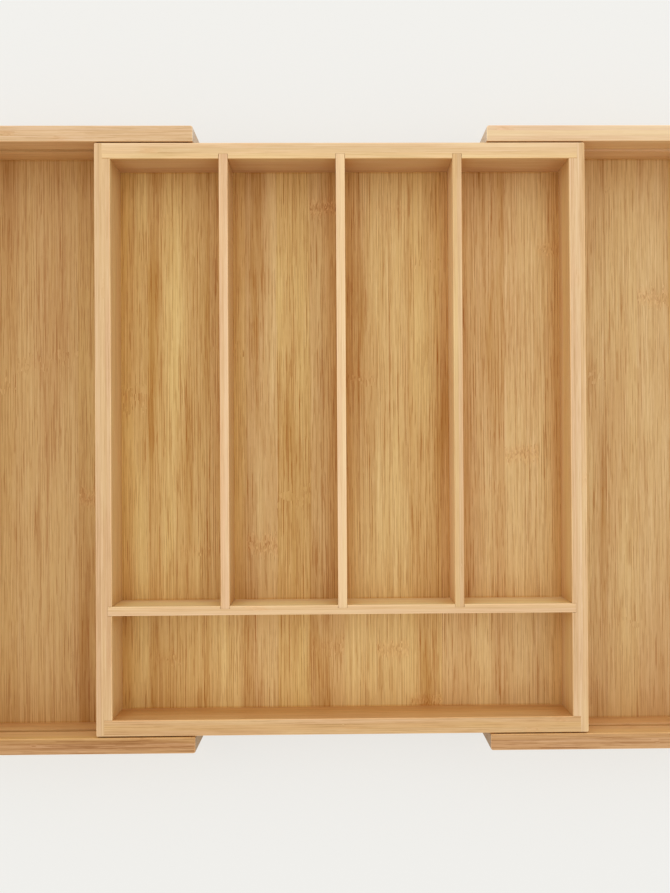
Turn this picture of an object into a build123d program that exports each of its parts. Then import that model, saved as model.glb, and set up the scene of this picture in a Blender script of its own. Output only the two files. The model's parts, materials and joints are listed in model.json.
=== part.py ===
from build123d import *
import os

# Expandable cutlery tray in bamboo. A centre tray with five compartments stands on the
# floors of a left and a right tray, which slide out from beneath it. Both are drawn
# pulled out to their stops. Millimetres, +X to the right, +Y to the back, +Z up, with
# the origin in the middle of the base.

# The whole tray
tray_depth = 450.0
tray_height = 58.0
wall_thickness = 11.5
rim_radius = 1.0

# Centre tray
centre_width = 353.0
centre_floor_drop = 40.0
centre_floor_thickness = 5.0
front_compartment_depth = 74.5
divider_thickness = 6.5
divider_radius = 0.8
long_divider_count = 3

# Housings that the boards are glued into
corner_lip = 5.75
floor_groove_depth = 4.0
floor_edge_clearance = 0.5
side_dado_depth = 3.0
back_dado_depth = 3.5
cross_dado_depth = 2.0
dado_clearance = 0.1

# Sliding trays
sliding_floor_drop = 51.0
sliding_floor_thickness = 4.0
sliding_floor_bevel = 1.0
travel = 103.5
closed_tip_gap = 4.4
tip_radius = 2.0
wall_clearance = 1.0
floor_clearance = 0.3
stop_clearance = 0.3

# Runners on the centre tray, and the grooves that they slide in
runner_drop = 25.0
runner_height = 6.0
runner_housing_depth = 2.0
runner_reach = 3.5
runner_clearance = 0.35
runner_tip_clearance = 0.5
groove_end_margin = 12.0
housing_clearance = 0.1

# How far a cut runs past the face that it opens
overrun = 2.0

# Heights that the boards share
rim = tray_height
full_height_cut = (-overrun, rim + overrun)
sliding_floor_top = rim - sliding_floor_drop
sliding_floor_span = (sliding_floor_top - sliding_floor_thickness, sliding_floor_top)
centre_floor_top = rim - centre_floor_drop
centre_floor_span = (centre_floor_top - centre_floor_thickness, centre_floor_top)
centre_wall_span = (sliding_floor_top + floor_clearance, rim)
sliding_wall_span = (0, rim)
divider_span = (centre_floor_top, rim)
runner_level = rim - runner_drop

# Faces of the centre tray's walls
centre_half_width = centre_width / 2
centre_half_depth = tray_depth / 2 - wall_thickness - wall_clearance
centre_inner_x = centre_half_width - wall_thickness
centre_inner_y = centre_half_depth - wall_thickness
rabbet_depth = wall_thickness - corner_lip

# Faces of the dividers
cross_divider_front = front_compartment_depth - centre_inner_y
cross_divider_back = cross_divider_front + divider_thickness
divider_stock = long_divider_count * divider_thickness
compartment_width = (2 * centre_inner_x - divider_stock) / (long_divider_count + 1)
divider_pitch = compartment_width + divider_thickness
middle_divider = (long_divider_count - 1) / 2
divider_centres = [(place - middle_divider) * divider_pitch for place in range(long_divider_count)]

# Faces of the right sliding tray, which the left one mirrors
end_wall_inner_x = centre_half_width + stop_clearance + travel
sliding_inner_y = tray_depth / 2 - wall_thickness
tip_x = closed_tip_gap / 2 + travel
groove_start_x = tip_x + groove_end_margin
runner_start_x = groove_start_x + stop_clearance
runner_end_x = centre_half_width - corner_lip


def board(x_span, y_span, z_span):
    """A squared board that fills three spans, each given as its low and high end."""
    low, high = zip(x_span, y_span, z_span)
    sizes = [top - bottom for bottom, top in zip(low, high)]
    return Pos(*low) * Box(*sizes, align=(Align.MIN, Align.MIN, Align.MIN))


def round_ended_bar(x_span, y_span, height):
    """A bar along X at the runners' level, rounded over at its low end like a routed groove."""
    radius = height / 2
    start, end = x_span
    outline = Pos(start + radius, 0) * Circle(radius)
    straight = Rectangle(end - start - radius, height, align=(Align.MIN, Align.CENTER))
    outline += Pos(start + radius, 0) * straight
    face_plane = Plane(origin=(0, y_span[0], runner_level), x_dir=(1, 0, 0), z_dir=(0, 1, 0))
    return extrude(face_plane * outline, amount=y_span[1] - y_span[0])


def top_edges(stock):
    """The edges round a board's top face."""
    return stock.edges().group_by(Axis.Z)[-1]


def lipped_wall(inner_x, half_length, z_span, floor_span):
    """A wall along Y, rabbeted at both ends so that its lips cover the ends of two long walls."""
    stock = board((inner_x, inner_x + wall_thickness), (-half_length, half_length), z_span)
    outer_corners = stock.edges().filter_by(Axis.Z).group_by(Axis.X)[-1]
    wall = fillet(top_edges(stock) + outer_corners, rim_radius)
    past_ends = half_length + overrun
    shoulder = half_length - wall_thickness
    rabbet_x_span = (inner_x - overrun, inner_x + rabbet_depth)
    for y_span in ((-past_ends, -shoulder), (shoulder, past_ends)):
        wall -= board(rabbet_x_span, y_span, full_height_cut)
    groove_x_span = (inner_x - overrun, inner_x + floor_groove_depth)
    return wall - board(groove_x_span, (-shoulder, shoulder), floor_span)


def centre_right_wall():
    """The lipped wall, with the dado that the cross divider's end stands in."""
    wall = lipped_wall(centre_inner_x, centre_half_depth, centre_wall_span, centre_floor_span)
    dado_x_span = (centre_inner_x - overrun, centre_inner_x + side_dado_depth)
    dado_y_span = (cross_divider_front - dado_clearance, cross_divider_back + dado_clearance)
    return wall - board(dado_x_span, dado_y_span, full_height_cut)


def centre_long_wall(dado_centres):
    """The centre tray's back wall, with its floor groove, runner housings and dados for dividers."""
    y_span = (centre_inner_y, centre_half_depth)
    stock = board((-runner_end_x, runner_end_x), y_span, centre_wall_span)
    wall = fillet(top_edges(stock).filter_by(Axis.X), rim_radius)
    past_ends = runner_end_x + overrun
    groove_y_span = (centre_inner_y - overrun, centre_inner_y + floor_groove_depth)
    wall -= board((-past_ends, past_ends), groove_y_span, centre_floor_span)
    dado_y_span = (centre_inner_y - overrun, centre_inner_y + back_dado_depth)
    half_dado = divider_thickness / 2 + dado_clearance
    for centre in dado_centres:
        dado_x_span = (centre - half_dado, centre + half_dado)
        wall -= board(dado_x_span, dado_y_span, full_height_cut)
    housing = round_ended_bar(
        (runner_start_x - housing_clearance, past_ends),
        (centre_half_depth - runner_housing_depth, centre_half_depth + overrun),
        runner_height + 2 * housing_clearance,
    )
    return wall - housing - mirror(housing, about=Plane.YZ)


def centre_floor():
    """The floor board, loose by a clearance in the grooves of the four walls."""
    half_x = centre_inner_x + floor_groove_depth - floor_edge_clearance
    half_y = centre_inner_y + floor_groove_depth - floor_edge_clearance
    return board((-half_x, half_x), (-half_y, half_y), centre_floor_span)


def cross_divider():
    """The divider along X, with a dado in its back face for each long divider."""
    half_length = centre_inner_x + side_dado_depth - dado_clearance
    y_span = (cross_divider_front, cross_divider_back)
    stock = board((-half_length, half_length), y_span, divider_span)
    divider = fillet(top_edges(stock).filter_by(Axis.X), divider_radius)
    half_dado = divider_thickness / 2 + dado_clearance
    dado_y_span = (cross_divider_back - cross_dado_depth, cross_divider_back + overrun)
    for centre in divider_centres:
        dado_x_span = (centre - half_dado, centre + half_dado)
        divider -= board(dado_x_span, dado_y_span, full_height_cut)
    return divider


def long_divider(centre):
    """A divider along Y, from its dado in the cross divider to its dado in the back wall."""
    half_thickness = divider_thickness / 2
    y_span = (
        cross_divider_back - cross_dado_depth + dado_clearance,
        centre_inner_y + back_dado_depth - dado_clearance,
    )
    stock = board((centre - half_thickness, centre + half_thickness), y_span, divider_span)
    return fillet(top_edges(stock).filter_by(Axis.Y), divider_radius)


def back_right_runner():
    """The strip let into the centre tray's back wall, which carries its round end to the stop."""
    y_span = (centre_half_depth - runner_housing_depth, sliding_inner_y + runner_reach)
    return round_ended_bar((runner_start_x, runner_end_x), y_span, runner_height)


def sliding_long_wall():
    """The right tray's back wall: rounded tip, through floor groove and blind runner groove."""
    long_wall_end = end_wall_inner_x + rabbet_depth
    stock = board((tip_x, long_wall_end), (sliding_inner_y, tray_depth / 2), sliding_wall_span)
    outer_tip_corner = stock.edges().filter_by(Axis.Z).group_by(Axis.X)[0].sort_by(Axis.Y)[-1]
    wall = fillet(outer_tip_corner, tip_radius)
    inner_tip_corner = wall.edges().filter_by(Axis.Z).group_by(Axis.X)[0].sort_by(Axis.Y)[0]
    rim_edges = top_edges(wall).sort_by(Axis.X)[:-1]
    wall = fillet(rim_edges + [inner_tip_corner], rim_radius)
    past_end = long_wall_end + overrun
    floor_groove_y_span = (sliding_inner_y - overrun, sliding_inner_y + floor_groove_depth)
    wall -= board((tip_x - overrun, past_end), floor_groove_y_span, sliding_floor_span)
    return wall - round_ended_bar(
        (groove_start_x, past_end),
        (sliding_inner_y - overrun, sliding_inner_y + runner_reach + runner_tip_clearance),
        runner_height + 2 * runner_clearance,
    )


def sliding_floor():
    """The right tray's floor board, bevelled at the edge that slides under the centre tray."""
    outer_x = end_wall_inner_x + floor_groove_depth - floor_edge_clearance
    half_y = sliding_inner_y + floor_groove_depth - floor_edge_clearance
    floor = board((tip_x, outer_x), (-half_y, half_y), sliding_floor_span)
    return chamfer(top_edges(floor).sort_by(Axis.X)[:1], sliding_floor_bevel)


def centre_tray_pieces():
    """Every piece of the fixed centre tray, by name."""
    right_wall = centre_right_wall()
    pieces = {
        "centre_right_wall": right_wall,
        "centre_left_wall": mirror(right_wall, about=Plane.YZ),
        "centre_back_wall": centre_long_wall(divider_centres),
        "centre_front_wall": mirror(centre_long_wall([]), about=Plane.XZ),
        "centre_floor": centre_floor(),
        "cross_divider": cross_divider(),
    }
    for number, centre in enumerate(divider_centres, start=1):
        pieces[f"long_divider_{number}"] = long_divider(centre)
    back_right = back_right_runner()
    back_left = mirror(back_right, about=Plane.YZ)
    pieces["back_right_runner"] = back_right
    pieces["back_left_runner"] = back_left
    pieces["front_right_runner"] = mirror(back_right, about=Plane.XZ)
    pieces["front_left_runner"] = mirror(back_left, about=Plane.XZ)
    return pieces


def right_tray_pieces():
    """Every piece of the right sliding tray, by the name that it has on its own tray."""
    back_wall = sliding_long_wall()
    half_depth = tray_depth / 2
    return {
        "back_wall": back_wall,
        "front_wall": mirror(back_wall, about=Plane.XZ),
        "end_wall": lipped_wall(end_wall_inner_x, half_depth, sliding_wall_span, sliding_floor_span),
        "floor": sliding_floor(),
    }


pieces = centre_tray_pieces()
for name, piece in right_tray_pieces().items():
    pieces[f"right_tray_{name}"] = piece
    pieces[f"left_tray_{name}"] = mirror(piece, about=Plane.YZ)

os.makedirs("parts", exist_ok=True)
for name, piece in pieces.items():
    piece.label = name
    export_step(piece, f"parts/{name}.step")
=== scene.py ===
import json
import math
from collections import namedtuple

import bmesh
import bpy
from bpy.props import FloatProperty, FloatVectorProperty, PointerProperty
from bpy.types import Operator, Panel, PropertyGroup
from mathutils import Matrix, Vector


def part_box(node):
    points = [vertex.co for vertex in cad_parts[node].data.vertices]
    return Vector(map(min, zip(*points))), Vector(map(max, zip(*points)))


bl_info = {
    "name": "Bamboo cutlery tray finish",
    "version": (1, 0, 0),
    "blender": (4, 5, 0),
    "location": "3D View > Sidebar > Cutlery tray",
    "description": "Finishes the boards of an expandable bamboo cutlery tray and sets its stage",
    "category": "Object",
}

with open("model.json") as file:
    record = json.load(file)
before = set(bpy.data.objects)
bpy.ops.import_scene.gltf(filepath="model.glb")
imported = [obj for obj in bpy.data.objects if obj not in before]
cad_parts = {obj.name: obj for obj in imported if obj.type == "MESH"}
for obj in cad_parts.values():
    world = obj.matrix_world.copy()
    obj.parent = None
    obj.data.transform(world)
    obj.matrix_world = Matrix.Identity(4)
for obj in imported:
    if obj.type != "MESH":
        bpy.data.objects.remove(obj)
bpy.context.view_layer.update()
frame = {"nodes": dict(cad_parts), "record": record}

# Which way a board's strips lie: the frame's axes across a strip, along it and through the plies
FLOOR_LAY = ("X", "Y", "Z")
SIDEWAYS_WALL_LAY = ("Z", "X", "Y")
LENGTHWAYS_WALL_LAY = ("Z", "Y", "X")

# How often the soft bands in a strip change, per metre across it, along it and through it
FLOOR_BAND_RATES = (52.0, 4.5, 52.0)
WALL_BAND_RATES = (90.0, 9.0, 90.0)

# How much the soft streaks show in floors and in walls
FLOOR_STREAKS = 0.1
WALL_STREAKS = 0.35

# The grain of the boards: how strongly the fibres show, how much the strips differ in tone, and
# the share of the fibres' strength that the faces of the board keep
Grain = namedtuple("Grain", "contrast tone_spread face_contrast", defaults=(0.38, 0.4, 1.0))
GRAINS = {
    "centre_floor": Grain(contrast=0.94, tone_spread=0.32),
    "left_tray_floor": Grain(contrast=0.86, tone_spread=0.32),
    "right_tray_floor": Grain(contrast=0.84, tone_spread=0.32),
    "centre_left_wall": Grain(contrast=0.48),
    "centre_right_wall": Grain(contrast=0.48),
    "centre_front_wall": Grain(contrast=0.65),
    "cross_divider": Grain(contrast=0.28),
    "left_tray_back_wall": Grain(contrast=0.6),
    "right_tray_back_wall": Grain(contrast=0.3),
    "left_tray_front_wall": Grain(contrast=1.3, tone_spread=0.8, face_contrast=0.4),
    "right_tray_front_wall": Grain(contrast=1.3, tone_spread=0.8, face_contrast=0.4),
}

# The number of the piece of stock that each floor is cut from, and how much painted shade darkens the
# floor towards its ends. Every other board's number is its place among the nodes.
FLOOR_CUTS = {"centre_floor": 55, "left_tray_floor": 49, "right_tray_floor": 54}
END_SHADING = {"centre_floor": 0.28, "left_tray_floor": 0.35, "right_tray_floor": 0.35}

# How much painted shade floors and walls take in their corners, and how fast it fades out along each of
# the frame's axes: in a floor it reaches less far along the grain than across it
FLOOR_PAINTED_SHADE_SHARE = 1.0
WALL_PAINTED_SHADE_SHARE = 0.55
FLOOR_CORNER_STRETCH = (1.0, 8.0, 1.0)
WALL_CORNER_STRETCH = (1.0, 1.0, 1.0)

# Boards closer than this are joined
JOINT_REACH = 0.001

# Distances from a joined board between which the open surface begins, and the joint's line fades in
OPEN_SURFACE_STARTS = (0.0, 0.00002)
JOINT_LINE = (0.0009, 0.0003)

# Depths under a board's top between which the faces' shade takes over from the rim's
RIM_DEPTHS = (0.003, 0.006)

# How far up a surface faces where a wall's rim begins, and where its arris ends in the flat top
RIM_FACING = (0.2, 0.45)
ARRIS_FACING = (0.99, 0.94)

# Depths behind a sliding wall's inner face between which its runner groove starts and ends, and
# how far a surface may face sideways before it belongs to the wall's tip
GROOVE_STARTS = (0.0002, 0.0005)
GROOVE_ENDS = (0.0055, 0.0045)
GROOVE_FACING = (0.9, 0.5)

# How strongly the fibres' relief shows, and how high it is
RELIEF_STRENGTH = 0.07
RELIEF_HEIGHT = 0.00012

# How strongly the lacquer reflects
LACQUER_REFLECTION = 0.35


def shade(part, red, green, blue):
    """A property that holds the shade of one board or of one part of it."""
    return FloatVectorProperty(
        name=part, description=f"Shade that multiplies the colour of the stock: {part.lower()}",
        default=(red, green, blue), subtype="COLOR", size=3, min=0.0, max=3.0)


class BoardShades(PropertyGroup):
    """How dark and how warm each board is against the colours of the stock, with painted light and shade in
    the shades of faces, ends and grooves.
    """

    centre_left_wall: shade("Centre left wall", 0.94, 0.9, 0.865)
    # The shades of faces are partly the board's own tone and partly painted light and shade: lighter on
    # faces that the light falls on, darker on faces turned from it
    centre_left_wall_face: shade("Centre left wall's faces", 1.08, 1.18, 1.1)
    centre_right_wall: shade("Centre right wall", 0.99, 0.98, 0.98)
    centre_right_wall_face: shade("Centre right wall's faces", 1.01, 1.02, 0.86)
    centre_back_wall: shade("Centre back wall", 1.09, 1.145, 1.17)
    centre_back_wall_face: shade("Centre back wall's faces", 0.83, 0.73, 0.62)
    centre_front_wall: shade("Centre front wall", 0.88, 0.805, 0.66)
    centre_front_wall_face: shade("Centre front wall's faces", 1.05, 0.99, 0.86)
    cross_divider: shade("Cross divider", 1.03, 1.035, 1.01)
    cross_divider_face: shade("Cross divider's faces", 1.18, 1.39, 1.45)
    long_divider_1: shade("Long divider 1", 1.05, 1.03, 1.1)
    long_divider_1_face: shade("Long divider 1's faces", 0.83, 0.81, 0.65)
    long_divider_2: shade("Long divider 2", 1.1, 1.12, 1.26)
    long_divider_2_face: shade("Long divider 2's faces", 0.86, 0.88, 0.84)
    long_divider_3: shade("Long divider 3", 0.97, 0.96, 0.9)
    long_divider_3_face: shade("Long divider 3's faces", 1.18, 1.27, 1.35)
    left_tray_back_wall: shade("Left tray back wall", 0.97, 0.98, 0.95)
    left_tray_back_wall_face: shade("Left tray back wall's faces", 1.06, 0.98, 0.84)
    # The shades of ends are painted light and shade: lighter on the back walls' ends, darker on the front
    # walls'
    left_tray_back_wall_end: shade("Left tray back wall's ends", 1.19, 1.41, 1.78)
    # The shades of grooves are painted light and shade: a painted highlight in the right back wall's groove,
    # painted shade in the others
    left_tray_back_wall_groove: shade("Left tray back wall's groove", 0.86, 0.79, 0.66)
    left_tray_front_wall: shade("Left tray front wall", 0.70, 0.545, 0.39)
    left_tray_front_wall_face: shade("Left tray front wall's faces", 1.54, 1.86, 2.02)
    left_tray_front_wall_end: shade("Left tray front wall's ends", 0.67, 0.71, 0.74)
    left_tray_front_wall_groove: shade("Left tray front wall's groove", 0.70, 0.60, 0.47)
    left_tray_end_wall: shade("Left tray end wall", 0.95, 0.93, 0.9)
    right_tray_back_wall: shade("Right tray back wall", 1.07, 1.14, 1.22)
    right_tray_back_wall_face: shade("Right tray back wall's faces", 1.0, 0.9, 0.75)
    right_tray_back_wall_end: shade("Right tray back wall's ends", 1.22, 1.41, 1.72)
    right_tray_back_wall_groove: shade("Right tray back wall's groove", 1.10, 1.20, 1.30)
    right_tray_front_wall: shade("Right tray front wall", 0.74, 0.59, 0.475)
    right_tray_front_wall_face: shade("Right tray front wall's faces", 1.52, 1.8, 1.96)
    right_tray_front_wall_end: shade("Right tray front wall's ends", 0.64, 0.66, 0.69)
    right_tray_front_wall_groove: shade("Right tray front wall's groove", 0.78, 0.70, 0.54)
    right_tray_end_wall: shade("Right tray end wall", 1.0, 1.0, 1.0)
    centre_floor: shade("Centre floor", 1.025, 1.035, 1.04)
    left_tray_floor: shade("Left tray floor", 0.875, 0.81, 0.765)
    right_tray_floor: shade("Right tray floor", 1.0, 1.02, 1.065)
    back_left_runner: shade("Back left runner", 0.92, 0.9, 0.88)
    back_right_runner: shade("Back right runner", 0.92, 0.9, 0.88)
    front_left_runner: shade("Front left runner", 0.92, 0.9, 0.88)
    front_right_runner: shade("Front right runner", 0.92, 0.9, 0.88)


def stock_colour(name, description, red, green, blue):
    """A property that holds one colour of the stock."""
    return FloatVectorProperty(name=name, description=description, default=(red, green, blue),
                               subtype="COLOR", size=3, min=0.0, max=1.0)


class BambooStock(PropertyGroup):
    """Sizes and colours of the laminated bamboo that every board is cut from."""

    floor_strip: FloatProperty(
        name="Floor strip width", description="Width of one strip in a floor board",
        default=0.0245, min=0.002, unit="LENGTH")
    wall_strip: FloatProperty(
        name="Wall strip width", description="Height of one strip on the face of a wall",
        default=0.019, min=0.002, unit="LENGTH")
    wall_ply: FloatProperty(
        name="Wall ply", description="Thickness of one ply of a wall",
        default=0.00384, min=0.0005, unit="LENGTH")
    divider_ply: FloatProperty(
        name="Divider ply", description="Thickness of one ply of a divider",
        default=0.00325, min=0.0005, unit="LENGTH")
    floor_ply: FloatProperty(
        name="Floor ply", description="Thickness of one ply of a floor board",
        default=0.006, min=0.0005, unit="LENGTH")
    fibre_width: FloatProperty(
        name="Fibre width", description="Width of one fibre that shows as a line",
        default=0.0004, min=0.0001, unit="LENGTH")
    knuckle_pitch: FloatProperty(
        name="Knuckle pitch", description="Distance between two knuckles of one cane",
        default=0.33, min=0.02, unit="LENGTH")
    # The reach of the painted shade in the corners where boards meet
    corner_shade_reach: FloatProperty(
        name="Corner reach", description="How far the lacquer that gathered in a corner reaches",
        default=0.0145, min=0.001, unit="LENGTH")
    # The reach of the painted shade at a floor's ends
    shading_reach: FloatProperty(
        name="Shading reach", description="How far a floor is toned darker from its ends",
        default=0.12, min=0.001, unit="LENGTH")
    wall_pale: stock_colour("Pale wall", "Lightest strips of the walls and dividers", 0.80, 0.545, 0.28)
    wall_rosy: stock_colour("Rosy wall", "Warm strips of the walls and dividers", 0.76, 0.485, 0.25)
    wall_deep: stock_colour("Deep wall", "Darkest strips of the walls and dividers", 0.70, 0.45, 0.22)
    wall_fibre: stock_colour("Wall fibre", "Fibres of the walls and dividers", 0.45, 0.23, 0.07)
    floor_gold: stock_colour("Gold floor", "Yellow strips of the floor boards", 0.76, 0.515, 0.203)
    floor_tan: stock_colour("Tan floor", "Rosy strips of the floor boards", 0.675, 0.415, 0.152)
    floor_deep: stock_colour("Deep floor", "Brown strips of the floor boards", 0.535, 0.277, 0.064)
    floor_fibre: stock_colour("Floor fibre", "Fibres of the floor boards", 0.38, 0.12, 0.001)
    end_grain: stock_colour("End grain", "Ends of the boards", 0.62, 0.49, 0.335)
    # Tint of the painted shade in the corners where boards meet
    corner_shade_tint: stock_colour("Corner stain", "Tint of the lacquer in the corners", 0.89, 0.765, 0.58)
    sheen: FloatProperty(
        name="Lacquer roughness", description="Roughness of the satin lacquer",
        default=0.46, min=0.0, max=1.0, subtype="FACTOR")


class StudioSet(PropertyGroup):
    """The floor, the light and the camera."""

    floor_colour: FloatVectorProperty(
        name="Floor", description="Colour of the studio floor",
        default=(0.885, 0.879, 0.85), subtype="COLOR", size=3, min=0.0, max=1.0)
    floor_size: FloatProperty(
        name="Floor size", description="Width and depth of the studio floor",
        default=8.0, min=1.0, unit="LENGTH")
    floor_roughness: FloatProperty(
        name="Floor roughness", description="Roughness of the studio floor's paint",
        default=0.9, min=0.0, max=1.0, subtype="FACTOR")
    floor_glow: FloatProperty(
        name="Floor glow",
        description="How much of the floor shows its plain colour, without shadow, in a picture",
        default=0.7, min=0.0, max=1.0, subtype="FACTOR")
    sky: FloatProperty(
        name="Sky strength", description="Strength of the plain white light from all round",
        default=0.80, min=0.0)
    side_lamp_strength: FloatProperty(
        name="Side lamp strength", description="Strength of the soft lamps at the left and the right",
        default=0.28, min=0.0)
    side_lamp_spread: FloatProperty(
        name="Side lamp spread", description="How wide each lamp at the side is, seen from the tray",
        default=math.radians(50), min=0.0, subtype="ANGLE")
    side_lamp_place: FloatVectorProperty(
        name="Side lamp place", description="Where the right lamp stands, which the left one mirrors",
        default=(1.5, 0.1, 1.5), size=3, subtype="TRANSLATION", unit="LENGTH")
    back_lamp_power: FloatProperty(
        name="Back lamp power", description="Power of the soft box behind the tray",
        default=5.0, min=0.0, unit="POWER")
    back_lamp_size: FloatProperty(
        name="Back lamp size", description="Width and height of the soft box",
        default=1.8, min=0.01, unit="LENGTH")
    back_lamp_place: FloatVectorProperty(
        name="Back lamp place", description="Where the soft box stands",
        default=(0.1, 1.4, 1.3), size=3, subtype="TRANSLATION", unit="LENGTH")
    camera_place: FloatVectorProperty(
        name="Camera place", description="Where the camera stands",
        default=(-0.00205, -0.0164, 0.88173), size=3, subtype="TRANSLATION", unit="LENGTH")
    camera_turn: FloatVectorProperty(
        name="Camera turn", description="How far the camera is turned from looking straight down",
        default=(math.radians(0.461), math.radians(-1.004), math.radians(-0.339)),
        size=3, subtype="EULER", unit="ROTATION")
    focal_length: FloatProperty(
        name="Focal length", description="Focal length on a 36 mm sensor",
        default=46.268, min=1.0, unit="CAMERA")
    lens_shift: FloatVectorProperty(
        name="Lens shift",
        description="How far the picture is cropped off the lens's axis, as a share of its height",
        default=(-0.02705, 0.00558), size=2)
    nearest_seen: FloatProperty(
        name="Nearest seen", description="How close to the camera a thing may be and still show",
        default=0.01, min=0.001, unit="LENGTH")


# Which sockets of a Mix node are its factor, its two colours and its result, because names repeat there
MIX_FACTOR, MIX_FIRST, MIX_SECOND, MIX_RESULT = 0, 6, 7, 2


class Wiring:
    """Adds nodes to one node tree and returns their outputs, so that a pattern reads as a formula."""

    def __init__(self, tree):
        self.tree = tree

    def add(self, kind, **settings):
        node = self.tree.nodes.new(kind)
        for name, value in settings.items():
            setattr(node, name, value)
        return node

    def feed(self, socket, value):
        """Links an output to the socket, or sets the socket to a plain value."""
        if isinstance(value, bpy.types.NodeSocket):
            self.tree.links.new(value, socket)
        else:
            socket.default_value = value

    def feed_all(self, node, values):
        """Feeds a node's first sockets in order, and leaves the others as they are."""
        for socket, value in zip(node.inputs, values):
            self.feed(socket, value)

    def math(self, operation, *values, clamp=False):
        node = self.add("ShaderNodeMath", operation=operation, use_clamp=clamp)
        self.feed_all(node, values)
        return node.outputs[0]

    def total(self, *values):
        sum_so_far = values[0]
        for value in values[1:]:
            sum_so_far = self.math("ADD", sum_so_far, value)
        return sum_so_far

    def product(self, *values):
        product_so_far = values[0]
        for value in values[1:]:
            product_so_far = self.math("MULTIPLY", product_so_far, value)
        return product_so_far

    def about_zero(self, value):
        """A number from nought to one, moved to lie about zero."""
        return self.math("SUBTRACT", value, 0.5)

    def step(self, value, low, high):
        """Zero at low, one at high and smooth between them. Low may be the higher number."""
        node = self.add("ShaderNodeMapRange", interpolation_type="SMOOTHSTEP")
        self.feed_all(node, (value, low, high))
        return node.outputs["Result"]

    def vector(self, *parts):
        """A vector of two or three parts. A third that isn't given is zero."""
        node = self.add("ShaderNodeCombineXYZ")
        self.feed_all(node, parts)
        return node.outputs[0]

    def parts(self, vector):
        """The three parts of a vector, in order or by the name of their axis."""
        node = self.add("ShaderNodeSeparateXYZ")
        self.feed_all(node, (vector,))
        return node.outputs

    def vector_math(self, operation, *values):
        node = self.add("ShaderNodeVectorMath", operation=operation)
        self.feed_all(node, values)
        return node.outputs["Vector"]

    def length(self, vector):
        node = self.add("ShaderNodeVectorMath", operation="LENGTH")
        self.feed_all(node, (vector,))
        return node.outputs["Value"]

    def random(self, *numbers):
        """Random outputs that stay the same while the two or three numbers given do."""
        node = self.add("ShaderNodeTexWhiteNoise", noise_dimensions=f"{len(numbers)}D")
        self.feed(node.inputs["Vector"], self.vector(*numbers))
        return node.outputs

    def noise(self, position, rates, detail=2.0, roughness=0.5, output="Fac"):
        """Noise with its own number of cycles per metre along each axis."""
        node = self.add("ShaderNodeTexNoise", noise_dimensions="3D")
        self.feed(node.inputs["Vector"], self.vector_math("MULTIPLY", position, rates))
        node.inputs["Scale"].default_value = 1.0
        node.inputs["Detail"].default_value = detail
        node.inputs["Roughness"].default_value = roughness
        return node.outputs[output]

    def mix(self, share, first, second):
        """The first colour with a share of the second laid over it."""
        node = self.add("ShaderNodeMix", data_type="RGBA")
        self.feed(node.inputs[MIX_FACTOR], share)
        self.feed(node.inputs[MIX_FIRST], first)
        self.feed(node.inputs[MIX_SECOND], second)
        return node.outputs[MIX_RESULT]

    def toned(self, share, colour, tone):
        """The colour, multiplied by a share of the tone."""
        return self.mix(share, colour, self.vector_math("MULTIPLY", colour, tone))


# What each board hands to the pattern of laminated bamboo, and what the pattern hands back
BAMBOO_INPUTS = {
    "NodeSocketVector": ("Place", "Band Rates", "Groove Tone"),
    "NodeSocketFloat": (
        "Strip", "Ply", "Fibre Width", "Knuckle Pitch", "Board", "Contrast", "Face Contrast", "Streaks",
        "Tone Spread", "Grain Normal", "Ply Normal", "Arris", "Joint", "Corner", "Groove"),
    "NodeSocketColor": ("Light", "Warm", "Deep", "Fibre", "End", "Face", "Stain"),
}
BAMBOO_OUTPUTS = {"NodeSocketColor": ("Colour",), "NodeSocketFloat": ("Height", "Roughness")}

# The noise behind each mark: its cycles per metre across the strips, along the grain and through the
# plies, how many finer layers it has, and how strong each finer layer is
FRAY_NOISE = {"rates": (900.0, 30.0, 900.0), "detail": 1.0}
JAG_NOISE = {"rates": (330.0, 14.0, 330.0), "roughness": 0.7}
SWERVE_NOISE = {"rates": (260.0, 170.0, 260.0), "detail": 1.0}
SHORT_FIBRE_NOISE = {"rates": (3425.0, 26.0, 3425.0), "detail": 1.0}
LONG_FIBRE_NOISE = {"rates": (4075.0, 7.0, 4075.0), "detail": 1.0}
FINE_FIBRE_NOISE = {"rates": (2400.0, 160.0, 2400.0), "detail": 1.0}
STREAK_NOISE = {"rates": (300.0, 4.0, 300.0), "roughness": 0.6}
FLECK_NOISE = {"rates": (900.0, 140.0, 900.0), "roughness": 0.6}
WEAR_NOISE = {"rates": (45.0, 12.0, 45.0), "detail": 4.0}

# The strips' sway has cycles per strip and per board instead
SWAY_NOISE = {"rates": (0.7, 3.1, 0.0), "detail": 0.0}

# The middle of a noise's colour, and how far a board's number is moved off the whole numbers, where
# every noise is at its middle
NOISE_MIDDLE = (0.5, 0.5, 0.5)
BOARD_NUMBER_OFFSET = 0.5

# The values of its noise between which each mark fades in
SHORT_DARK = (0.57, 0.64)
SHORT_PALE = (0.44, 0.36)
LONG_DARK = (0.56, 0.66)
LONG_PALE = (0.44, 0.34)
FINE_DARK = (0.5, 0.68)
STREAK_DARK = (0.5, 0.7)
STREAK_PALE = (0.48, 0.3)
FLECK_DARK = (0.52, 0.66)
FLECK_PALE = (0.48, 0.36)
END_DOT = (0.45, 0.62)

# How much of its colour each mark lays over the board where it is strongest
SHORT_DARK_SHARE = 0.5
LONG_DARK_SHARE = 0.42
FINE_DARK_SHARE = 0.12
PALE_SHARE = 0.62
KNOT_SHARE = 0.7
DARK_FLECK_SHARE = 0.3
PALE_FLECK_SHARE = 0.6
RING_SHARE = 0.2
GLUE_SHARE = 0.14
JOINT_SHARE = 0.14
END_DOT_SHARE = 0.5
END_GRAIN_SHARE = 0.85

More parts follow.
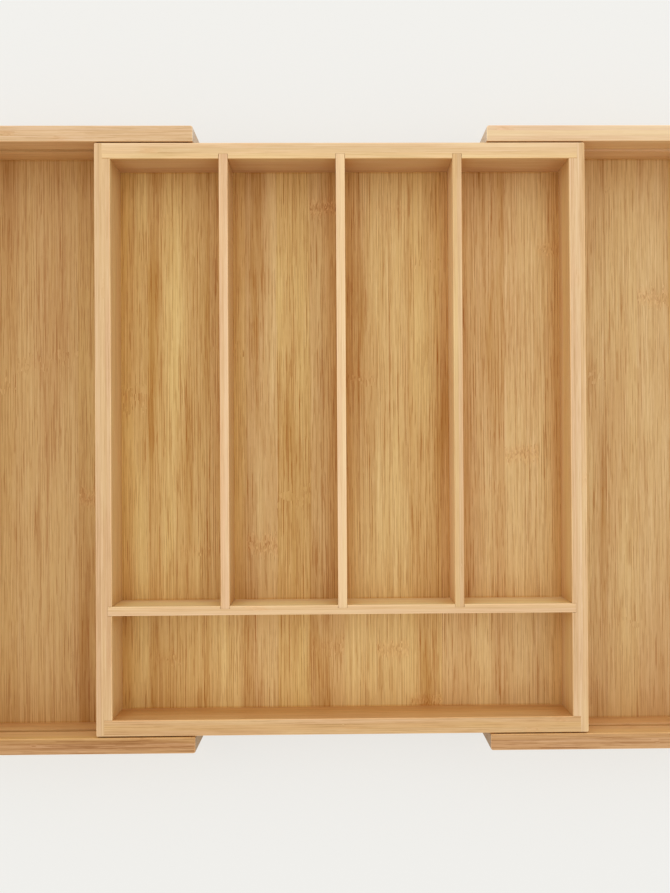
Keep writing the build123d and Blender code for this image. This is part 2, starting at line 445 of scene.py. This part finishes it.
# Tones that multiply the colour: of pale fibres, of knuckles, and the painted highlight on the arrises
PALE_FIBRE_TONE = (1.15, 1.25, 1.5)
KNUCKLE_TONE = (1.02, 0.93, 0.88)
PAINTED_HIGHLIGHT_TONE = (1.16, 1.18, 1.2)

# Strips: how far they sway and fray, in strips, and how far their marks are shifted, in metres
STRIP_SWAY = 0.3
STRIP_FRAY = 0.07
STRIP_SHIFT = (7.0, 5.0, 9.0)

# Knuckles: how many pitches they are staggered over, the strength of the faintest, how far the fibres
# shift the ring and swerve round it, and the distances between which the ring and the knot fade in
KNUCKLE_STAGGER = 3.0
FAINTEST_KNUCKLE = 0.15
JAG_REACH = 0.02
SWERVE_REACH = (0.003, 0.010, 0.003)
RING_DISTANCES = (0.0018, 0.0002)
KNOT_DISTANCES = (0.010, 0.0015)

# Fibres: how long the steps of their lines are, and how far the long ones are shifted, in metres
FIBRE_STEP = 0.0001
LONG_FIBRE_SHIFT = (3.0, 1.0, 2.0)

# Tones of the ground: a board's shift along the grain against that across it, the depth of the
# bands, the middle tone, the tones between which the warm and the deep colour fade in, and the
# least blue that a strip has and how much more it may have
BOARD_SHIFT_SHARE = 0.37
BAND_DEPTH = 1.7
MIDDLE_TONE = 0.5
WARM_TONES = (0.28, 0.72)
DEEP_TONES = (0.65, 1.05)
LEAST_BLUE = 0.9
BLUE_SPREAD = 0.2

# The strength of the fibres in the palest strips, and how much stronger they are in the deep ones
PALE_STRIP_CONTRAST = 0.65
DEEP_STRIP_CONTRAST = 0.6

# How wide the glue lines are, as a share of a strip and of a ply
STRIP_GLUE_WIDTH_SHARE = 0.014
PLY_GLUE_WIDTH_SHARE = 0.06

# How squarely a surface faces along the grain, or through the plies, as it becomes an end or a face
SQUARE_FACING = (0.6, 0.9)

# How far each mark stands out of the surface or lies under it, as a share of the relief's height
PALE_FIBRE_HEIGHT = 0.3
SHORT_FIBRE_HEIGHT = -0.7
FINE_FIBRE_HEIGHT = -0.3
GLUE_HEIGHT = -0.8
KNOT_HEIGHT = 0.8

# How much rougher or smoother the lacquer is where each of these is strongest
WEAR_ROUGHNESS = 0.2
FIBRE_ROUGHNESS = 0.1
END_GRAIN_ROUGHNESS = 0.25
CORNER_ROUGHNESS = -0.08


def laminated_bamboo_group():
    """The pattern of laminated bamboo, shared by every board.

    It is read at a place on the board, in metres: across its strips, along the grain and
    through its plies. It gives a colour, a height for the bump and a roughness.
    """
    name = "laminated_bamboo"
    if name in bpy.data.node_groups:
        return bpy.data.node_groups[name]
    tree = bpy.data.node_groups.new(name, "ShaderNodeTree")
    for side, kinds in (("INPUT", BAMBOO_INPUTS), ("OUTPUT", BAMBOO_OUTPUTS)):
        for kind, sockets in kinds.items():
            for socket in sockets:
                tree.interface.new_socket(name=socket, in_out=side, socket_type=kind)
    wire = Wiring(tree)
    given = wire.add("NodeGroupInput").outputs
    result = wire.add("NodeGroupOutput").inputs

    strips = lay_strips(wire, given)
    knuckles = form_knuckles(wire, given, strips)
    fibres = grow_fibres(wire, given, strips, knuckles)
    face = wire.step(given["Ply Normal"], *SQUARE_FACING)
    end_grain = wire.step(given["Grain Normal"], *SQUARE_FACING)
    glue = glue_lines(wire, strips)

    tone, colour = colour_ground(wire, given, strips)
    # The faces' shade: partly the board's own tone, partly painted light and shade
    colour = wire.toned(face, colour, given["Face"])
    colour = draw_fibres(wire, given, colour, fibres, fibre_contrast(wire, given, tone, face))
    colour = draw_knuckles(wire, given, colour, knuckles, fibres)
    colour = wire.mix(wire.product(glue, GLUE_SHARE), colour, given["Fibre"])
    colour = draw_end_grain(wire, given, colour, end_grain, fibres)
    wire.feed(result["Colour"], finish_edges(wire, given, colour))

    height = wire.total(
        wire.product(fibres.short_pale, PALE_FIBRE_HEIGHT),
        wire.product(fibres.short_dark, SHORT_FIBRE_HEIGHT),
        wire.product(fibres.fine_dark, FINE_FIBRE_HEIGHT),
        wire.product(glue, GLUE_HEIGHT),
        wire.product(knuckles.knot, fibres.flecks, KNOT_HEIGHT))
    wire.feed(result["Height"], height)
    wear = wire.about_zero(wire.noise(given["Place"], **WEAR_NOISE))
    roughness = wire.total(
        wire.product(wear, WEAR_ROUGHNESS),
        wire.product(fibres.short_dark, FIBRE_ROUGHNESS),
        wire.product(end_grain, END_GRAIN_ROUGHNESS),
        wire.product(given["Corner"], CORNER_ROUGHNESS))
    wire.feed(result["Roughness"], roughness)
    return tree


Strips = namedtuple("Strips", "across through strip along tone knuckle_start tint place")


def lay_strips(wire, given):
    """Plies, each staggered by its own share of a strip, and in them strips of nearly even width.

    Across and through count strips and plies, and strip is the whole number of the first. Tone,
    knuckle start and tint are random numbers of the strip's own, and place is where its marks
    are drawn.
    """
    across, along, through = wire.parts(given["Place"])
    through = wire.math("DIVIDE", through, given["Ply"])
    ply = wire.math("FLOOR", through)
    stagger = wire.random(ply, given["Board"])["Value"]
    across = wire.total(wire.math("DIVIDE", across, given["Strip"]), stagger)
    sway = wire.noise(wire.vector(across, given["Board"]), **SWAY_NOISE)
    fray = wire.noise(given["Place"], **FRAY_NOISE)
    across = wire.total(across, wire.product(sway, STRIP_SWAY), wire.product(fray, STRIP_FRAY))
    strip = wire.math("FLOOR", across)
    drawn = wire.random(strip, ply, given["Board"])["Color"]
    place = wire.vector_math("ADD", given["Place"], wire.vector_math("MULTIPLY", drawn, STRIP_SHIFT))
    return Strips(across, through, strip, along, *wire.parts(drawn), place)


Knuckles = namedtuple("Knuckles", "ring knot")


def form_knuckles(wire, given, strips):
    """A jagged ring across each strip with a wider knot round it, strong on some and faint on most."""
    pitches = wire.math("DIVIDE", strips.along, given["Knuckle Pitch"])
    pitches = wire.total(pitches, wire.product(strips.knuckle_start, KNUCKLE_STAGGER))
    drawn = wire.random(strips.strip, wire.math("FLOOR", pitches), given["Board"])["Value"]
    strength = wire.total(wire.product(drawn, drawn), FAINTEST_KNUCKLE)
    from_ring = wire.product(wire.about_zero(wire.math("FRACT", pitches)), given["Knuckle Pitch"])
    jag = wire.about_zero(wire.noise(strips.place, **JAG_NOISE))
    distance = wire.math("ABSOLUTE", wire.total(from_ring, wire.product(jag, JAG_REACH)))
    return Knuckles(
        ring=wire.product(strength, wire.step(distance, *RING_DISTANCES)),
        knot=wire.product(strength, wire.step(distance, *KNOT_DISTANCES)))


Fibres = namedtuple("Fibres", "dark pale short_dark short_pale fine_dark fines flecks")


def grow_fibres(wire, given, strips, knuckles):
    """Straight lines one fibre wide, some short and some long, over fine lines and soft streaks.

    Near a knuckle they swerve. Dark and pale are what all of them add up to.
    """
    knot = knuckles.knot
    swerve = wire.noise(strips.place, **SWERVE_NOISE, output="Color")
    swerve = wire.vector_math("SUBTRACT", swerve, NOISE_MIDDLE)
    swerve = wire.vector_math("MULTIPLY", swerve, SWERVE_REACH)
    swerve = wire.vector_math("MULTIPLY", swerve, wire.vector(knot, knot, knot))
    place = wire.vector_math("ADD", strips.place, swerve)
    width = given["Fibre Width"]
    column = wire.vector_math("SNAP", place, wire.vector(width, FIBRE_STEP, width))

    short = wire.noise(column, **SHORT_FIBRE_NOISE)
    long = wire.noise(wire.vector_math("ADD", column, LONG_FIBRE_SHIFT), **LONG_FIBRE_NOISE)
    streaks = wire.noise(place, **STREAK_NOISE)
    fines = wire.noise(place, **FINE_FIBRE_NOISE)
    short_dark = wire.step(short, *SHORT_DARK)
    short_pale = wire.step(short, *SHORT_PALE)
    fine_dark = wire.step(fines, *FINE_DARK)
    dark = wire.total(
        wire.product(short_dark, SHORT_DARK_SHARE),
        wire.product(wire.step(long, *LONG_DARK), LONG_DARK_SHARE),
        wire.product(fine_dark, FINE_DARK_SHARE),
        wire.product(wire.step(streaks, *STREAK_DARK), given["Streaks"]))
    pale = wire.total(
        wire.product(short_pale, PALE_SHARE),
        wire.product(wire.step(long, *LONG_PALE), PALE_SHARE),
        wire.product(wire.step(streaks, *STREAK_PALE), given["Streaks"]))
    return Fibres(dark, pale, short_dark, short_pale, fine_dark, fines, wire.noise(place, **FLECK_NOISE))


def glue_lines(wire, strips):
    """One on the glue lines between strips and between plies, and zero off them."""
    lines = []
    for count, width in ((strips.across, STRIP_GLUE_WIDTH_SHARE), (strips.through, PLY_GLUE_WIDTH_SHARE)):
        share = wire.math("FRACT", count)
        edge = wire.math("MINIMUM", share, wire.math("SUBTRACT", 1.0, share))
        lines.append(wire.step(edge, width, 0.0))
    return wire.math("MAXIMUM", *lines)


def colour_ground(wire, given, strips):
    """The tone of a strip with the soft bands along it, and its colour: pale, then warm, then deep."""
    board_shift = wire.vector(given["Board"], wire.product(given["Board"], BOARD_SHIFT_SHARE))
    bands = wire.noise(wire.vector_math("ADD", given["Place"], board_shift), given["Band Rates"])
    tone = wire.total(
        wire.product(wire.about_zero(strips.tone), given["Tone Spread"]),
        wire.product(wire.about_zero(bands), BAND_DEPTH), MIDDLE_TONE)
    colour = wire.mix(wire.step(tone, *WARM_TONES), given["Light"], given["Warm"])
    colour = wire.mix(wire.step(tone, *DEEP_TONES), colour, given["Deep"])
    blue = wire.total(LEAST_BLUE, wire.product(strips.tint, BLUE_SPREAD))
    return tone, wire.vector_math("MULTIPLY", colour, wire.vector(1.0, 1.0, blue))


def fibre_contrast(wire, given, tone, face):
    """How strongly fibres show: less in the pale strips and, on some boards, on the faces."""
    calmer = wire.product(face, wire.math("SUBTRACT", 1.0, given["Face Contrast"]))
    by_tone = wire.total(wire.product(tone, DEEP_STRIP_CONTRAST), PALE_STRIP_CONTRAST)
    return wire.product(given["Contrast"], wire.math("SUBTRACT", 1.0, calmer), by_tone)


def draw_fibres(wire, given, colour, fibres, contrast):
    """Dark fibres have a colour of their own, and pale ones lighten the strip's."""
    colour = wire.mix(wire.product(fibres.dark, contrast), colour, given["Fibre"])
    return wire.toned(wire.product(fibres.pale, contrast), colour, PALE_FIBRE_TONE)


def draw_knuckles(wire, given, colour, knuckles, fibres):
    """Knuckles are rosier, with dark and pale flecks and a thin ring."""
    knot = knuckles.knot
    colour = wire.toned(wire.math("MULTIPLY", knot, KNOT_SHARE, clamp=True), colour, KNUCKLE_TONE)
    dark = wire.product(knot, wire.step(fibres.flecks, *FLECK_DARK), given["Contrast"], DARK_FLECK_SHARE)
    colour = wire.mix(dark, colour, given["Fibre"])
    pale = wire.product(knot, wire.step(fibres.flecks, *FLECK_PALE), given["Contrast"], PALE_FLECK_SHARE)
    colour = wire.mix(pale, colour, given["Light"])
    return wire.mix(wire.product(knuckles.ring, given["Contrast"], RING_SHARE), colour, given["Fibre"])


def draw_end_grain(wire, given, colour, end_grain, fibres):
    """End grain has its colour, with painted light and shade on some boards' ends, dotted with the ends of
    the fibres.
    """
    dots = wire.product(wire.step(fibres.fines, *END_DOT), END_DOT_SHARE)
    dotted = wire.mix(dots, given["End"], given["Fibre"])
    return wire.mix(wire.product(end_grain, END_GRAIN_SHARE), colour, dotted)


def finish_edges(wire, given, colour):
    """Arrises get a painted highlight, corners painted shade, grooves painted light and shade, and joints a
    dark line.
    """
    colour = wire.toned(given["Arris"], colour, PAINTED_HIGHLIGHT_TONE)
    colour = wire.toned(given["Corner"], colour, given["Stain"])
    colour = wire.toned(given["Groove"], colour, given["Groove Tone"])
    return wire.mix(wire.product(given["Joint"], JOINT_SHARE), colour, given["Fibre"])


def boards_joined_to(node_name):
    """The boxes of the boards of the same tray that touch this one."""
    trays = frame["record"]["behaviour"]["bodies"].values()
    tray = next(boards for boards in trays if node_name in boards)
    low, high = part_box(node_name)
    joined = []
    for other in tray:
        other_low, other_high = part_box(other)
        gaps = [max(other_low[axis] - high[axis], low[axis] - other_high[axis]) for axis in range(3)]
        if other != node_name and not other.endswith("runner") and max(gaps) < JOINT_REACH:
            joined.append((other_low, other_high))
    return joined


class Board:
    """One CAD board with its own laminated bamboo, laid out from the board's lowest corner."""

    def __init__(self, node_name, lay, cut=None):
        self.node_name = node_name
        self.low, self.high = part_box(node_name)
        material = bpy.data.materials.new(f"bamboo_{node_name}")
        material.use_nodes = True
        self.wire = Wiring(material.node_tree)
        wire = self.wire
        coordinates = wire.add("ShaderNodeTexCoord").outputs
        self.place = coordinates["Object"]
        self.facing = wire.parts(coordinates["Normal"])

        from_corner = wire.add("ShaderNodeMapping", vector_type="POINT")
        from_corner.inputs["Location"].default_value = [-value for value in self.low]
        wire.feed(from_corner.inputs["Vector"], self.place)
        reach = wire.parts(from_corner.outputs[0])
        height = self.high.z - self.low.z
        self.below_rim = wire.step(reach["Z"], *[height - depth for depth in RIM_DEPTHS])

        bamboo = wire.add("ShaderNodeGroup", node_tree=laminated_bamboo_group())
        self.pattern = bamboo.inputs
        _, grain_axis, ply_axis = lay
        wire.feed(self.pattern["Place"], wire.vector(*[reach[axis] for axis in lay]))
        wire.feed(self.pattern["Grain Normal"], self.faces_along(grain_axis))
        on_face = wire.math("MAXIMUM", self.faces_along(ply_axis), self.below_rim)
        wire.feed(self.pattern["Ply Normal"], on_face)
        number = sorted(frame["nodes"]).index(node_name) if cut is None else cut
        self.pattern["Board"].default_value = number + BOARD_NUMBER_OFFSET

        self.lacquer(bamboo.outputs, material.node_tree.nodes["Principled BSDF"])
        mesh = frame["nodes"][node_name].data
        mesh.materials.clear()
        mesh.materials.append(material)

    def faces_along(self, axis):
        """How squarely the surface faces along an axis, either way."""
        return self.wire.math("ABSOLUTE", self.facing[axis])

    def lacquer(self, bamboo, shader):
        """Hands the pattern to the shader, with its relief under a satin lacquer."""
        bump = self.wire.add("ShaderNodeBump")
        bump.inputs["Strength"].default_value = RELIEF_STRENGTH
        bump.inputs["Distance"].default_value = RELIEF_HEIGHT
        self.wire.feed(bump.inputs["Height"], bamboo["Height"])
        sheen = bpy.context.scene.bamboo_stock.sheen
        roughness = self.wire.math("ADD", bamboo["Roughness"], sheen, clamp=True)
        self.wire.feed(shader.inputs["Base Color"], bamboo["Colour"])
        self.wire.feed(shader.inputs["Roughness"], roughness)
        self.wire.feed(shader.inputs["Normal"], bump.outputs["Normal"])
        shader.inputs["Specular IOR Level"].default_value = LACQUER_REFLECTION

    def cut_from(self, strip, ply, band_rates, streaks):
        """Sets the sizes of the stock that the board is cut from, and how its grain shows."""
        stock = bpy.context.scene.bamboo_stock
        grain = GRAINS.get(self.node_name, Grain())
        for name, value in (
                ("Strip", strip), ("Ply", ply), ("Band Rates", band_rates), ("Streaks", streaks),
                ("Fibre Width", stock.fibre_width), ("Knuckle Pitch", stock.knuckle_pitch),
                ("Contrast", grain.contrast), ("Tone Spread", grain.tone_spread),
                ("Face Contrast", grain.face_contrast)):
            self.pattern[name].default_value = value

    def shade_of(self, part):
        """The shade for the board's faces, its ends or its groove, where it has one: painted light and
        shade, on faces together with the board's own tone.
        """
        return getattr(bpy.context.scene.board_shades, f"{self.node_name}_{part}", (1.0, 1.0, 1.0))

    def colour(self, pale, warm, deep, fibre):
        """Sets the colours of the strips and fibres, in the board's own shade."""
        stock = bpy.context.scene.bamboo_stock
        board_shade = getattr(bpy.context.scene.board_shades, self.node_name)
        for name, colour in (("Light", pale), ("Warm", warm), ("Deep", deep), ("Fibre", fibre)):
            shaded = [min(1.0, part * scale) for part, scale in zip(colour, board_shade)]
            self.pattern[name].default_value = (*shaded, 1.0)
        # The ends' shade is painted light and shade: lighter at the back walls' ends and darker at the front
        # walls'
        end_colour = [part * scale for part, scale in zip(stock.end_grain, self.shade_of("end"))]
        self.pattern["End"].default_value = (*end_colour, 1.0)
        self.pattern["Face"].default_value = (*self.shade_of("face"), 1.0)
        self.pattern["Stain"].default_value = (*stock.corner_shade_tint, 1.0)

    def distance_to_joined_boards(self, stretch):
        """How far a place is from the nearest board that this one is joined to, with each axis stretched."""
        nearest = None
        for low, high in boards_joined_to(self.node_name):
            centre, half_size = (low + high) / 2, (high - low) / 2
            offset = self.wire.vector_math("SUBTRACT", self.place, centre)
            offset = self.wire.vector_math("ABSOLUTE", offset)
            offset = self.wire.vector_math("SUBTRACT", offset, half_size)
            offset = self.wire.vector_math("MAXIMUM", offset, (0.0, 0.0, 0.0))
            distance = self.wire.length(self.wire.vector_math("MULTIPLY", offset, stretch))
            nearest = distance if nearest is None else self.wire.math("MINIMUM", nearest, distance)
        return nearest

    def gathered_lacquer(self, distance):
        """How strong the painted shade in a corner is at a distance from the joined board."""
        return self.wire.step(distance, bpy.context.scene.bamboo_stock.corner_shade_reach, 0.0)

    def mark_joints(self, distance, open_surface, stain, painted_shade_share):
        """Draws the line of each joint, and the painted shade beside it, where the surface is open."""
        line = self.wire.step(distance, *JOINT_LINE)
        self.wire.feed(self.pattern["Joint"], self.wire.product(line, open_surface))
        self.wire.feed(self.pattern["Corner"], self.wire.product(stain, open_surface, painted_shade_share))


def finish_floor(node_name):
    """Finishes a floor board, with painted shade in its corners and towards its ends."""
    stock = bpy.context.scene.bamboo_stock
    board = Board(node_name, FLOOR_LAY, FLOOR_CUTS[node_name])
    board.cut_from(stock.floor_strip, stock.floor_ply, FLOOR_BAND_RATES, FLOOR_STREAKS)
    board.colour(stock.floor_gold, stock.floor_tan, stock.floor_deep, stock.floor_fibre)
    wire = board.wire
    distance = board.distance_to_joined_boards(FLOOR_CORNER_STRETCH)
    half_length = (board.high.y - board.low.y) / 2
    from_middle = wire.math("ABSOLUTE", wire.parts(board.place)["Y"])
    toward_end = wire.step(from_middle, half_length - stock.shading_reach, half_length)
    shading = wire.product(toward_end, END_SHADING[node_name])
    stain = wire.math("ADD", board.gathered_lacquer(distance), shading, clamp=True)
    board.mark_joints(distance, wire.step(distance, *OPEN_SURFACE_STARTS), stain, FLOOR_PAINTED_SHADE_SHARE)


def plain_wall(node_name, lay, ply):
    """A wall, divider or runner in the stock of the walls, with nothing marked on its edges."""
    stock = bpy.context.scene.bamboo_stock
    board = Board(node_name, lay)
    board.cut_from(stock.wall_strip, ply, WALL_BAND_RATES, WALL_STREAKS)
    board.colour(stock.wall_pale, stock.wall_rosy, stock.wall_deep, stock.wall_fibre)
    return board


def finish_wall(node_name, lay, ply):
    """Finishes a wall or divider, with a painted highlight on the arrises round its rim, and joints and
    painted corner shade below it.
    """
    board = plain_wall(node_name, lay, ply)
    wire = board.wire
    up = board.facing["Z"]
    rim = wire.step(up, *RIM_FACING)
    # A painted highlight on the rounded arris of the rim
    wire.feed(board.pattern["Arris"], wire.product(rim, wire.step(up, *ARRIS_FACING)))
    distance = board.distance_to_joined_boards(WALL_CORNER_STRETCH)
    below = wire.product(wire.step(distance, *OPEN_SURFACE_STARTS), wire.math("SUBTRACT", 1.0, rim))
    board.mark_joints(distance, below, board.gathered_lacquer(distance), WALL_PAINTED_SHADE_SHARE)
    return board


def tone_groove(board):
    """Gives the runner groove in a sliding tray's wall painted light and shade: a painted highlight in the
    right back wall, painted shade in the others.
    """
    wire = board.wire
    inner_y = min(abs(board.low.y), abs(board.high.y))
    depth = wire.math("SUBTRACT", wire.math("ABSOLUTE", wire.parts(board.place)["Y"]), inner_y)
    in_groove = wire.product(
        wire.step(depth, *GROOVE_STARTS), wire.step(depth, *GROOVE_ENDS), board.below_rim,
        wire.step(board.faces_along("X"), *GROOVE_FACING))
    wire.feed(board.pattern["Groove"], in_groove)
    board.pattern["Groove Tone"].default_value = board.shade_of("groove")


class TRAY_OT_finish_floors(Operator):
    """Finish the floor boards, whose strips run from front to back"""

    bl_idname = "cutlery_tray.finish_floors"
    bl_label = "Finish floors"

    def execute(self, context):
        for node_name in FLOOR_CUTS:
            finish_floor(node_name)
        return {"FINISHED"}


class TRAY_OT_finish_centre_walls(Operator):
    """Finish the four walls of the centre tray"""

    bl_idname = "cutlery_tray.finish_centre_walls"
    bl_label = "Finish centre walls"

    def execute(self, context):
        ply = context.scene.bamboo_stock.wall_ply
        for side in ("left", "right"):
            finish_wall(f"centre_{side}_wall", LENGTHWAYS_WALL_LAY, ply)
        for side in ("back", "front"):
            finish_wall(f"centre_{side}_wall", SIDEWAYS_WALL_LAY, ply)
        return {"FINISHED"}


class TRAY_OT_finish_dividers(Operator):
    """Finish the cross divider and the long dividers"""

    bl_idname = "cutlery_tray.finish_dividers"
    bl_label = "Finish dividers"

    def execute(self, context):
        ply = context.scene.bamboo_stock.divider_ply
        finish_wall("cross_divider", SIDEWAYS_WALL_LAY, ply)
        for node_name in frame["nodes"]:
            if node_name.startswith("long_divider"):
                finish_wall(node_name, LENGTHWAYS_WALL_LAY, ply)
        return {"FINISHED"}


class TRAY_OT_finish_sliding_walls(Operator):
    """Finish the walls of the two sliding trays"""

    bl_idname = "cutlery_tray.finish_sliding_walls"
    bl_label = "Finish sliding walls"

    def execute(self, context):
        ply = context.scene.bamboo_stock.wall_ply
        for tray in ("left_tray", "right_tray"):
            finish_wall(f"{tray}_end_wall", LENGTHWAYS_WALL_LAY, ply)
            for side in ("back", "front"):
                tone_groove(finish_wall(f"{tray}_{side}_wall", SIDEWAYS_WALL_LAY, ply))
        return {"FINISHED"}


class TRAY_OT_finish_runners(Operator):
    """Finish the runners that slide in the grooves"""

    bl_idname = "cutlery_tray.finish_runners"
    bl_label = "Finish runners"

    def execute(self, context):
        ply = context.scene.bamboo_stock.divider_ply
        for node_name in frame["nodes"]:
            if node_name.endswith("runner"):
                plain_wall(node_name, SIDEWAYS_WALL_LAY, ply)
        return {"FINISHED"}


class TRAY_OT_set_stage(Operator):
    """Lay the pale studio floor and set up the light and the camera"""

    bl_idname = "cutlery_tray.set_stage"
    bl_label = "Set stage"

    def execute(self, context):
        studio = context.scene.studio_set
        lay_studio_floor(studio)
        light_studio(studio)
        place_camera(studio)
        context.scene.view_settings.view_transform = "Standard"
        return {"FINISHED"}


def lay_studio_floor(studio):
    """A plain floor at the height that the tray stands on."""
    mesh = bpy.data.meshes.new("studio_floor")
    form = bmesh.new()
    bmesh.ops.create_grid(form, x_segments=1, y_segments=1, size=studio.floor_size / 2)
    form.to_mesh(mesh)
    form.free()
    floor = bpy.data.objects.new("studio_floor", mesh)
    bpy.context.scene.collection.objects.link(floor)
    material = bpy.data.materials.new("studio_floor_paint")
    material.use_nodes = True
    shader = material.node_tree.nodes["Principled BSDF"]
    shader.inputs["Base Color"].default_value = (*studio.floor_colour, 1.0)
    shader.inputs["Roughness"].default_value = studio.floor_roughness
    shader.inputs["Specular IOR Level"].default_value = 0.0
    wire = Wiring(material.node_tree)
    glow = wire.add("ShaderNodeEmission")
    glow.inputs["Color"].default_value = (*studio.floor_colour, 1.0)
    either = wire.add("ShaderNodeMixShader")
    glowing = wire.product(seen_in_picture(wire), studio.floor_glow)
    wire.feed_all(either, (glowing, shader.outputs[0], glow.outputs[0]))
    wire.feed(material.node_tree.nodes["Material Output"].inputs["Surface"], either.outputs[0])
    mesh.materials.append(material)


def seen_in_picture(wire):
    """One for what the camera sees, and zero for what only lights the tray.

    What the camera sees in a gloss or through glass counts as seen.
    """
    path = wire.add("ShaderNodeLightPath").outputs
    straight_or_gloss = wire.math("MAXIMUM", path["Is Camera Ray"], path["Is Glossy Ray"])
    return wire.math("MAXIMUM", straight_or_gloss, path["Is Transmission Ray"])


def light_studio(studio):
    """Plain white light from all round, a soft lamp at each side and a soft box behind the tray."""
    world = bpy.context.scene.world or bpy.data.worlds.new("studio_sky")
    bpy.context.scene.world = world
    world.use_nodes = True
    world.node_tree.nodes.clear()
    wire = Wiring(world.node_tree)
    light = wire.add("ShaderNodeBackground")
    light.inputs["Color"].default_value = (1.0, 1.0, 1.0, 1.0)
    light.inputs["Strength"].default_value = studio.sky
    backdrop = wire.add("ShaderNodeBackground")
    backdrop.inputs["Color"].default_value = (*studio.floor_colour, 1.0)
    either = wire.add("ShaderNodeMixShader")
    wire.feed_all(either, (seen_in_picture(wire), light.outputs[0], backdrop.outputs[0]))
    wire.feed(wire.add("ShaderNodeOutputWorld").inputs["Surface"], either.outputs[0])

    right, back, height = studio.side_lamp_place
    for name, across in (("left_lamp", -right), ("right_lamp", right)):
        side_lamp = bpy.data.lights.new(name, "SUN")
        side_lamp.angle = studio.side_lamp_spread
        side_lamp.energy = studio.side_lamp_strength
        hang_lamp(side_lamp, (across, back, height))
    back_lamp = bpy.data.lights.new("back_lamp", "AREA")
    back_lamp.size = studio.back_lamp_size
    back_lamp.energy = studio.back_lamp_power
    hang_lamp(back_lamp, studio.back_lamp_place)


def hang_lamp(lamp, place):
    """Hangs a lamp at a place, aimed at the tray."""
    lamp_object = bpy.data.objects.new(lamp.name, lamp)
    lamp_object.location = place
    lamp_object.rotation_euler = (-lamp_object.location).to_track_quat("-Z", "Y").to_euler()
    bpy.context.scene.collection.objects.link(lamp_object)


def place_camera(studio):
    """The photograph's view: from almost straight above."""
    camera = bpy.data.cameras.new("photo_camera")
    camera.lens = studio.focal_length
    camera.shift_x, camera.shift_y = studio.lens_shift
    camera.clip_start = studio.nearest_seen
    camera_object = bpy.data.objects.new("photo_camera", camera)
    camera_object.location = studio.camera_place
    camera_object.rotation_euler = studio.camera_turn
    bpy.context.scene.collection.objects.link(camera_object)
    bpy.context.scene.camera = camera_object


class TRAY_PT_finish(Panel):
    """Sizes, colours and steps of the tray's finish"""

    bl_idname = "TRAY_PT_finish"
    bl_label = "Cutlery tray"
    bl_space_type = "VIEW_3D"
    bl_region_type = "UI"
    bl_category = "Cutlery tray"

    def draw(self, context):
        scene = context.scene
        for group in (scene.bamboo_stock, scene.board_shades, scene.studio_set):
            box = self.layout.box()
            for name in group.__annotations__:
                box.prop(group, name)
        for operator in OPERATORS:
            self.layout.operator(operator.bl_idname)


OPERATORS = (
    TRAY_OT_finish_floors,
    TRAY_OT_finish_centre_walls,
    TRAY_OT_finish_dividers,
    TRAY_OT_finish_sliding_walls,
    TRAY_OT_finish_runners,
    TRAY_OT_set_stage,
)
CLASSES = (BambooStock, BoardShades, StudioSet, *OPERATORS, TRAY_PT_finish)


def register():
    for cls in CLASSES:
        bpy.utils.register_class(cls)
    bpy.types.Scene.bamboo_stock = PointerProperty(type=BambooStock)
    bpy.types.Scene.board_shades = PointerProperty(type=BoardShades)
    bpy.types.Scene.studio_set = PointerProperty(type=StudioSet)


def unregister():
    del bpy.types.Scene.studio_set
    del bpy.types.Scene.board_shades
    del bpy.types.Scene.bamboo_stock
    for cls in reversed(CLASSES):
        bpy.utils.unregister_class(cls)


def main():
    register()
    bpy.ops.cutlery_tray.finish_floors()
    bpy.ops.cutlery_tray.finish_centre_walls()
    bpy.ops.cutlery_tray.finish_dividers()
    bpy.ops.cutlery_tray.finish_sliding_walls()
    bpy.ops.cutlery_tray.finish_runners()
    bpy.ops.cutlery_tray.set_stage()


if __name__ == "__main__":
    main()
